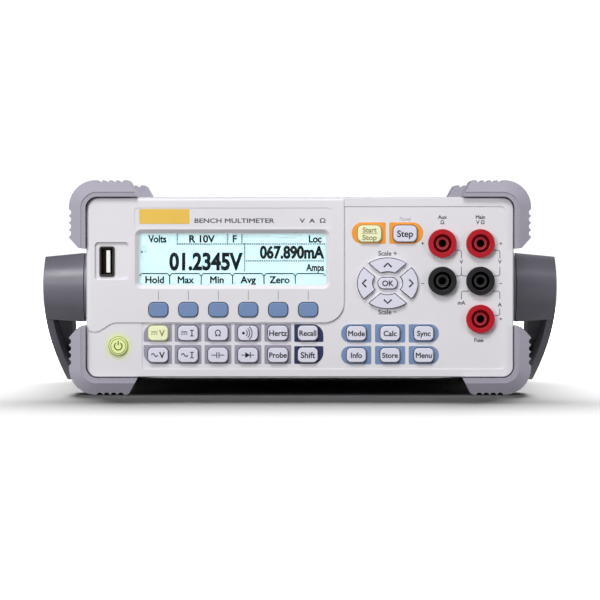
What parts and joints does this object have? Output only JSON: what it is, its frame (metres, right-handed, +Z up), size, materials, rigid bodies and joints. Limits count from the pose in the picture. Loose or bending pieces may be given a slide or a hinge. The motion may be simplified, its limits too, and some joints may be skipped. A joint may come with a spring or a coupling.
{
  "type": "bench multimeter",
  "caption": "Half-rack bench multimeter with a monochrome display, sprung keys, safety sockets, rubber corner protectors and a swinging bail handle.",
  "frame": {"origin": "centre of the object's box at bench level, with the handle folded to the back", "axes": "+Z up, +X to the right of someone facing the display, +Y from the display to the rear panel"},
  "size_m": [0.2712, 0.2904, 0.1075],
  "materials": {
    "bezel_plastic": "fine texture",
    "clear_window": "clear",
    "display": "backlit",
    "mat_rubber": "satin",
    "circuit_board": "satin",
    "port_steel": "satin",
    "white_plastic": "satin",
    "red_plastic": "gloss",
    "black_plastic": "satin",
    "contact_metal": "satin",
    "cover_paint": "fine texture",
    "chassis_steel": "satin",
    "rear_paint": "fine texture",
    "grey_rubber": "satin",
    "handle_plastic": "satin",
    "core_steel": "varnished",
    "relay_plastic": "matte",
    "screw_steel": "satin",
    "light_key": "satin",
    "blue_key": "satin",
    "lit_key": "satin, lit from behind"
  },
  "bodies": {
    "instrument": {"front_bezel": "bezel_plastic", "display_window": "clear_window", "lcd_module": "display", "keypad_mat": "mat_rubber", "front_board": "circuit_board", "usb_shell": "port_steel", "usb_tongue": "white_plastic", "red_jacks": "red_plastic", "black_jacks": "black_plastic", "jack_contacts": "contact_metal", "case_cover": "cover_paint", "chassis": "chassis_steel", "rear_panel": "rear_paint", "front_bumpers": "grey_rubber", "rear_bumpers": "grey_rubber", "handle_pivots": "handle_plastic", "main_board": "circuit_board", "transformer": "core_steel", "relays": "relay_plastic", "mains_inlet": "black_plastic", "inlet_pins": "port_steel", "power_switch": "black_plastic", "fuse_holder": "black_plastic", "fuse_cap": "black_plastic", "lan_port": "port_steel", "case_screws": "screw_steel"},
    "handle": {"handle": "handle_plastic"},
    "power_rocker": {"power_rocker": "black_plastic"},
    "softkey_1": {"softkey_1": "blue_key"},
    "softkey_2": {"softkey_2": "blue_key"},
    "softkey_3": {"softkey_3": "blue_key"},
    "softkey_4": {"softkey_4": "blue_key"},
    "softkey_5": {"softkey_5": "blue_key"},
    "softkey_6": {"softkey_6": "blue_key"},
    "key_dcv": {"key_dcv": "lit_key"},
    "key_dci": {"key_dci": "light_key"},
    "key_ohm": {"key_ohm": "light_key"},
    "key_beep": {"key_beep": "light_key"},
    "key_freq": {"key_freq": "light_key"},
    "key_preset": {"key_preset": "light_key"},
    "key_acv": {"key_acv": "light_key"},
    "key_aci": {"key_aci": "light_key"},
    "key_cap": {"key_cap": "light_key"},
    "key_diode": {"key_diode": "light_key"},
    "key_sensor": {"key_sensor": "light_key"},
    "key_second": {"key_second": "light_key"},
    "key_meas": {"key_meas": "light_key"},
    "key_math": {"key_math": "light_key"},
    "key_trig": {"key_trig": "light_key"},
    "key_help": {"key_help": "light_key"},
    "key_save": {"key_save": "light_key"},
    "key_utility": {"key_utility": "light_key"},
    "key_run": {"key_run": "lit_key"},
    "key_single": {"key_single": "light_key"},
    "key_auto": {"key_auto": "light_key"},
    "key_right": {"key_right": "light_key"},
    "key_up": {"key_up": "light_key"},
    "key_left": {"key_left": "light_key"},
    "key_down": {"key_down": "light_key"},
    "key_power": {"key_power": "lit_key"}
  },
  "joints": [
    {"name": "handle_swing", "type": "hinge", "parent": "instrument", "child": "handle", "pos_m": [0, -0.03025, 0.0526], "axis": [1, 0, 0], "range_deg": [0, 205]},
    {"name": "rocker_tip", "type": "hinge", "parent": "instrument", "child": "power_rocker", "pos_m": [-0.074, 0.10505, 0.068], "axis": [1, 0, 0], "range_deg": [-14, 0]},
    {"name": "softkey_1_press", "type": "slide", "parent": "instrument", "child": "softkey_1", "axis": [0, 1, 0], "range_m": [0, 0.0012], "stiffness_N_per_m": 400, "springref_m": -0.0005},
    {"name": "softkey_2_press", "type": "slide", "parent": "instrument", "child": "softkey_2", "axis": [0, 1, 0], "range_m": [0, 0.0012], "stiffness_N_per_m": 400, "springref_m": -0.0005},
    {"name": "softkey_3_press", "type": "slide", "parent": "instrument", "child": "softkey_3", "axis": [0, 1, 0], "range_m": [0, 0.0012], "stiffness_N_per_m": 400, "springref_m": -0.0005},
    {"name": "softkey_4_press", "type": "slide", "parent": "instrument", "child": "softkey_4", "axis": [0, 1, 0], "range_m": [0, 0.0012], "stiffness_N_per_m": 400, "springref_m": -0.0005},
    {"name": "softkey_5_press", "type": "slide", "parent": "instrument", "child": "softkey_5", "axis": [0, 1, 0], "range_m": [0, 0.0012], "stiffness_N_per_m": 400, "springref_m": -0.0005},
    {"name": "softkey_6_press", "type": "slide", "parent": "instrument", "child": "softkey_6", "axis": [0, 1, 0], "range_m": [0, 0.0012], "stiffness_N_per_m": 400, "springref_m": -0.0005},
    {"name": "key_dcv_press", "type": "slide", "parent": "instrument", "child": "key_dcv", "axis": [0, 1, 0], "range_m": [0, 0.0012], "stiffness_N_per_m": 400, "springref_m": -0.0005},
    {"name": "key_dci_press", "type": "slide", "parent": "instrument", "child": "key_dci", "axis": [0, 1, 0], "range_m": [0, 0.0012], "stiffness_N_per_m": 400, "springref_m": -0.0005},
    {"name": "key_ohm_press", "type": "slide", "parent": "instrument", "child": "key_ohm", "axis": [0, 1, 0], "range_m": [0, 0.0012], "stiffness_N_per_m": 400, "springref_m": -0.0005},
    {"name": "key_beep_press", "type": "slide", "parent": "instrument", "child": "key_beep", "axis": [0, 1, 0], "range_m": [0, 0.0012], "stiffness_N_per_m": 400, "springref_m": -0.0005},
    {"name": "key_freq_press", "type": "slide", "parent": "instrument", "child": "key_freq", "axis": [0, 1, 0], "range_m": [0, 0.0012], "stiffness_N_per_m": 400, "springref_m": -0.0005},
    {"name": "key_preset_press", "type": "slide", "parent": "instrument", "child": "key_preset", "axis": [0, 1, 0], "range_m": [0, 0.0012], "stiffness_N_per_m": 400, "springref_m": -0.0005},
    {"name": "key_acv_press", "type": "slide", "parent": "instrument", "child": "key_acv", "axis": [0, 1, 0], "range_m": [0, 0.0012], "stiffness_N_per_m": 400, "springref_m": -0.0005},
    {"name": "key_aci_press", "type": "slide", "parent": "instrument", "child": "key_aci", "axis": [0, 1, 0], "range_m": [0, 0.0012], "stiffness_N_per_m": 400, "springref_m": -0.0005},
    {"name": "key_cap_press", "type": "slide", "parent": "instrument", "child": "key_cap", "axis": [0, 1, 0], "range_m": [0, 0.0012], "stiffness_N_per_m": 400, "springref_m": -0.0005},
    {"name": "key_diode_press", "type": "slide", "parent": "instrument", "child": "key_diode", "axis": [0, 1, 0], "range_m": [0, 0.0012], "stiffness_N_per_m": 400, "springref_m": -0.0005},
    {"name": "key_sensor_press", "type": "slide", "parent": "instrument", "child": "key_sensor", "axis": [0, 1, 0], "range_m": [0, 0.0012], "stiffness_N_per_m": 400, "springref_m": -0.0005},
    {"name": "key_second_press", "type": "slide", "parent": "instrument", "child": "key_second", "axis": [0, 1, 0], "range_m": [0, 0.0012], "stiffness_N_per_m": 400, "springref_m": -0.0005},
    {"name": "key_meas_press", "type": "slide", "parent": "instrument", "child": "key_meas", "axis": [0, 1, 0], "range_m": [0, 0.0012], "stiffness_N_per_m": 400, "springref_m": -0.0005},
    {"name": "key_math_press", "type": "slide", "parent": "instrument", "child": "key_math", "axis": [0, 1, 0], "range_m": [0, 0.0012], "stiffness_N_per_m": 400, "springref_m": -0.0005},
    {"name": "key_trig_press", "type": "slide", "parent": "instrument", "child": "key_trig", "axis": [0, 1, 0], "range_m": [0, 0.0012], "stiffness_N_per_m": 400, "springref_m": -0.0005},
    {"name": "key_help_press", "type": "slide", "parent": "instrument", "child": "key_help", "axis": [0, 1, 0], "range_m": [0, 0.0012], "stiffness_N_per_m": 400, "springref_m": -0.0005},
    {"name": "key_save_press", "type": "slide", "parent": "instrument", "child": "key_save", "axis": [0, 1, 0], "range_m": [0, 0.0012], "stiffness_N_per_m": 400, "springref_m": -0.0005},
    {"name": "key_utility_press", "type": "slide", "parent": "instrument", "child": "key_utility", "axis": [0, 1, 0], "range_m": [0, 0.0012], "stiffness_N_per_m": 400, "springref_m": -0.0005},
    {"name": "key_run_press", "type": "slide", "parent": "instrument", "child": "key_run", "axis": [0, 1, 0], "range_m": [0, 0.0012], "stiffness_N_per_m": 400, "springref_m": -0.0005},
    {"name": "key_single_press", "type": "slide", "parent": "instrument", "child": "key_single", "axis": [0, 1, 0], "range_m": [0, 0.0012], "stiffness_N_per_m": 400, "springref_m": -0.0005},
    {"name": "key_auto_press", "type": "slide", "parent": "instrument", "child": "key_auto", "axis": [0, 1, 0], "range_m": [0, 0.0012], "stiffness_N_per_m": 400, "springref_m": -0.0005},
    {"name": "key_right_press", "type": "slide", "parent": "instrument", "child": "key_right", "axis": [0, 1, 0], "range_m": [0, 0.0012], "stiffness_N_per_m": 400, "springref_m": -0.0005},
    {"name": "key_up_press", "type": "slide", "parent": "instrument", "child": "key_up", "axis": [0, 1, 0], "range_m": [0, 0.0012], "stiffness_N_per_m": 400, "springref_m": -0.0005},
    {"name": "key_left_press", "type": "slide", "parent": "instrument", "child": "key_left", "axis": [0, 1, 0], "range_m": [0, 0.0012], "stiffness_N_per_m": 400, "springref_m": -0.0005},
    {"name": "key_down_press", "type": "slide", "parent": "instrument", "child": "key_down", "axis": [0, 1, 0], "range_m": [0, 0.0012], "stiffness_N_per_m": 400, "springref_m": -0.0005},
    {"name": "key_power_press", "type": "slide", "parent": "instrument", "child": "key_power", "axis": [0, 1, 0], "range_m": [0, 0.0012], "stiffness_N_per_m": 400, "springref_m": -0.0005}
  ]
}
